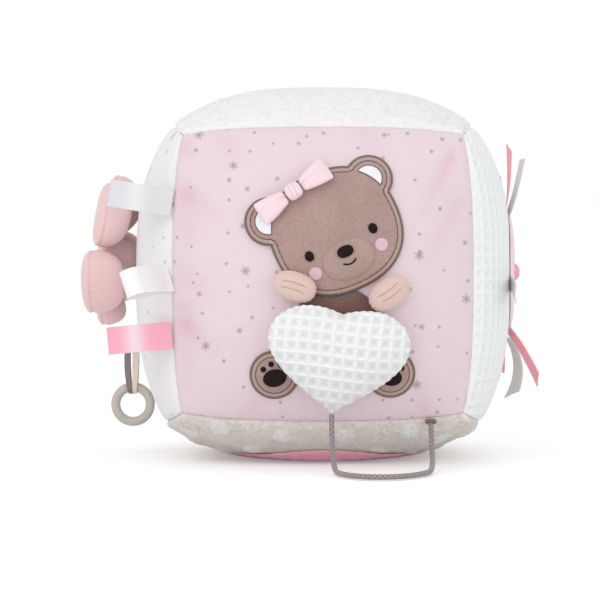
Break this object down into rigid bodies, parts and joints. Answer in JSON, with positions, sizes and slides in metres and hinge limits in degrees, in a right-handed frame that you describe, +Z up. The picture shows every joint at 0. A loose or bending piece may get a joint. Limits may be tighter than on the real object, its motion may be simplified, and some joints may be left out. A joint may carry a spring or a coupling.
{
  "type": "soft activity cube",
  "caption": "Soft stuffed fabric cube with a padded teddy bear front, a stuffed heart on a tether cord, ribbon loops, a flower, a teething ring and a rosette of ribbon tails",
  "frame": {"origin": "middle of the underside of the round base patch, on the floor", "axes": "+Z up through the top panel, -Y out of the front panel with the bear, +X out of the rosette panel"},
  "size_m": [0.2118, 0.2069, 0.1745],
  "materials": {
    "pink_plush": "soft pile",
    "white_plush": "soft pile",
    "sherpa": "curly pile",
    "waffle": "waffle weave",
    "minky": "raised dots",
    "filling": "matte",
    "coral_satin": "satin",
    "fur": "short pile",
    "pale_fur": "short pile",
    "thread": "satin stitch",
    "peach": "soft pile",
    "pink_satin": "satin",
    "grey_satin": "satin",
    "white_satin": "satin",
    "rose_satin": "satin",
    "braid": "braided",
    "velour": "soft pile",
    "taupe_ribbon": "satin",
    "ring_rubber": "matte",
    "warm_satin": "satin"
  },
  "bodies": {
    "block": {"front_panel": "pink_plush", "back_panel": "pink_plush", "left_panel": "white_plush", "right_panel": "waffle", "top_panel": "sherpa", "bottom_panel": "minky", "core_stuffing": "filling", "base_patch": "coral_satin", "bear_head": "fur", "inner_ear_left": "white_plush", "inner_ear_right": "white_plush", "muzzle": "pale_fur", "nose": "thread", "eye_left": "thread", "eye_right": "thread", "bear_body": "fur", "foot_left": "fur", "foot_right": "fur", "sole_left": "thread", "sole_right": "thread", "bow_loop_left": "pink_satin", "bow_loop_right": "pink_satin", "bow_knot": "pink_satin", "pull_cord": "braid", "cord_tack": "thread", "flower_centre": "peach", "rosette_disc": "pink_satin", "rosette_button": "rose_satin"},
    "heart": {"heart": "waffle"},
    "paw_left": {"paw_left": "peach"},
    "paw_right": {"paw_right": "peach"},
    "tag_grey": {"tag_grey": "grey_satin"},
    "tag_white": {"tag_white": "white_satin"},
    "tag_pink": {"tag_pink": "rose_satin"},
    "ring_ribbon": {"ring_ribbon": "taupe_ribbon"},
    "teething_ring": {"teething_ring": "ring_rubber"},
    "petal_1": {"petal_1": "velour"},
    "petal_2": {"petal_2": "velour"},
    "petal_3": {"petal_3": "velour"},
    "petal_4": {"petal_4": "velour"},
    "petal_5": {"petal_5": "velour"},
    "ribbon_tail_1": {"ribbon_tail_1": "rose_satin"},
    "ribbon_tail_2": {"ribbon_tail_2": "warm_satin"},
    "ribbon_tail_3": {"ribbon_tail_3": "warm_satin"},
    "ribbon_tail_4": {"ribbon_tail_4": "rose_satin"},
    "ribbon_tail_5": {"ribbon_tail_5": "warm_satin"},
    "ribbon_tail_6": {"ribbon_tail_6": "rose_satin"},
    "ribbon_tail_7": {"ribbon_tail_7": "warm_satin"},
    "ribbon_tail_8": {"ribbon_tail_8": "rose_satin"}
  },
  "joints": [
    {"name": "heart_pull", "type": "slide", "parent": "block", "child": "heart", "axis": [0, -1, 0], "range_m": [0, 0.05]},
    {"name": "paw_left_lift", "type": "hinge", "parent": "block", "child": "paw_left", "pos_m": [-0.00327, -0.0961, 0.07817], "axis": [0.309, 0, 0.9511], "range_deg": [0, 38], "stiffness_Nm_per_rad": 0.01},
    {"name": "paw_right_lift", "type": "hinge", "parent": "block", "child": "paw_right", "pos_m": [0.02057, -0.0954, 0.0722], "axis": [0.5736, 0, -0.8192], "range_deg": [0, 15], "stiffness_Nm_per_rad": 0.01},
    {"name": "tag_grey_flex", "type": "hinge", "parent": "block", "child": "tag_grey", "pos_m": [-0.06813, -0.06945, 0.1183], "axis": [0.1564, 0, 0.9877], "range_deg": [-35, 45], "stiffness_Nm_per_rad": 0.003},
    {"name": "tag_white_flex", "type": "hinge", "parent": "block", "child": "tag_white", "pos_m": [-0.06864, -0.07014, 0.0843], "axis": [-0.3115, 0.1632, 0.9361], "range_deg": [-45, 25], "stiffness_Nm_per_rad": 0.003},
    {"name": "tag_pink_flex", "type": "hinge", "parent": "block", "child": "tag_pink", "pos_m": [-0.06832, -0.0697, 0.0593], "axis": [-0.0958, 0, 0.9954], "range_deg": [-35, 45], "stiffness_Nm_per_rad": 0.003},
    {"name": "ring_ribbon_swing", "type": "hinge", "parent": "block", "child": "ring_ribbon", "pos_m": [-0.0913, 0, 0.059], "axis": [1, 0, 0], "range_deg": [-20, 20]},
    {"name": "ring_swing", "type": "hinge", "parent": "ring_ribbon", "child": "teething_ring", "pos_m": [-0.0913, 0, 0.0322], "axis": [1, 0, 0], "range_deg": [-34, 34]},
    {"name": "petal_1_bend", "type": "hinge", "parent": "block", "child": "petal_1", "pos_m": [-0.10197, -0.00746, 0.09186], "axis": [0, 0.4384, -0.8988], "range_deg": [-10, 10], "stiffness_Nm_per_rad": 0.05},
    {"name": "petal_2_bend", "type": "hinge", "parent": "block", "child": "petal_2", "pos_m": [-0.10197, -0.00577, 0.10147], "axis": [0, -0.7193, -0.6947], "range_deg": [-6, 12], "stiffness_Nm_per_rad": 0.05},
    {"name": "petal_3_bend", "type": "hinge", "parent": "block", "child": "petal_3", "pos_m": [-0.10197, 0.0039, 0.10283], "axis": [0, -0.8829, 0.4695], "range_deg": [-5, 12], "stiffness_Nm_per_rad": 0.05},
    {"name": "petal_4_bend", "type": "hinge", "parent": "block", "child": "petal_4", "pos_m": [-0.10197, 0.00817, 0.09406], "axis": [0, 0.1736, 0.9848], "range_deg": [-3, 12], "stiffness_Nm_per_rad": 0.05},
    {"name": "petal_5_bend", "type": "hinge", "parent": "block", "child": "petal_5", "pos_m": [-0.10197, 0.00115, 0.08728], "axis": [0, 0.9903, 0.1392], "range_deg": [0, 12], "stiffness_Nm_per_rad": 0.05},
    {"name": "tail_1_bend", "type": "hinge", "parent": "block", "child": "ribbon_tail_1", "pos_m": [0.08742, -0.00441, 0.11889], "axis": [0, 0.9903, 0.1392], "range_deg": [-8, 35], "stiffness_Nm_per_rad": 0.001},
    {"name": "tail_2_bend", "type": "hinge", "parent": "block", "child": "ribbon_tail_2", "pos_m": [0.08771, -0.01488, 0.11549], "axis": [0, 0.8829, 0.4695], "range_deg": [-8, 35], "stiffness_Nm_per_rad": 0.001},
    {"name": "tail_3_bend", "type": "hinge", "parent": "block", "child": "ribbon_tail_3", "pos_m": [0.08724, -0.03122, 0.08199], "axis": [0, -0.1736, 0.9848], "range_deg": [-8, 35], "stiffness_Nm_per_rad": 0.001},
    {"name": "tail_4_bend", "type": "hinge", "parent": "block", "child": "ribbon_tail_4", "pos_m": [0.08803, -0.01488, 0.05951], "axis": [0, -0.8829, 0.4695], "range_deg": [-8, 35], "stiffness_Nm_per_rad": 0.001},
    {"name": "tail_5_bend", "type": "hinge", "parent": "block", "child": "ribbon_tail_5", "pos_m": [0.08784, -0.00276, 0.05592], "axis": [0, -0.9962, 0.0872], "range_deg": [-8, 35], "stiffness_Nm_per_rad": 0.001},
    {"name": "tail_6_bend", "type": "hinge", "parent": "block", "child": "ribbon_tail_6", "pos_m": [0.08804, 0.01726, 0.06091], "axis": [0, -0.8387, -0.5446], "range_deg": [-8, 35], "stiffness_Nm_per_rad": 0.001},
    {"name": "tail_7_bend", "type": "hinge", "parent": "block", "child": "ribbon_tail_7", "pos_m": [0.08718, 0.03158, 0.08474], "axis": [0, -0.0872, -0.9962], "range_deg": [-8, 35], "stiffness_Nm_per_rad": 0.001},
    {"name": "tail_8_bend", "type": "hinge", "parent": "block", "child": "ribbon_tail_8", "pos_m": [0.0878, 0.02121, 0.11106], "axis": [0, 0.7431, -0.6691], "range_deg": [-8, 35], "stiffness_Nm_per_rad": 0.001}
  ]
}
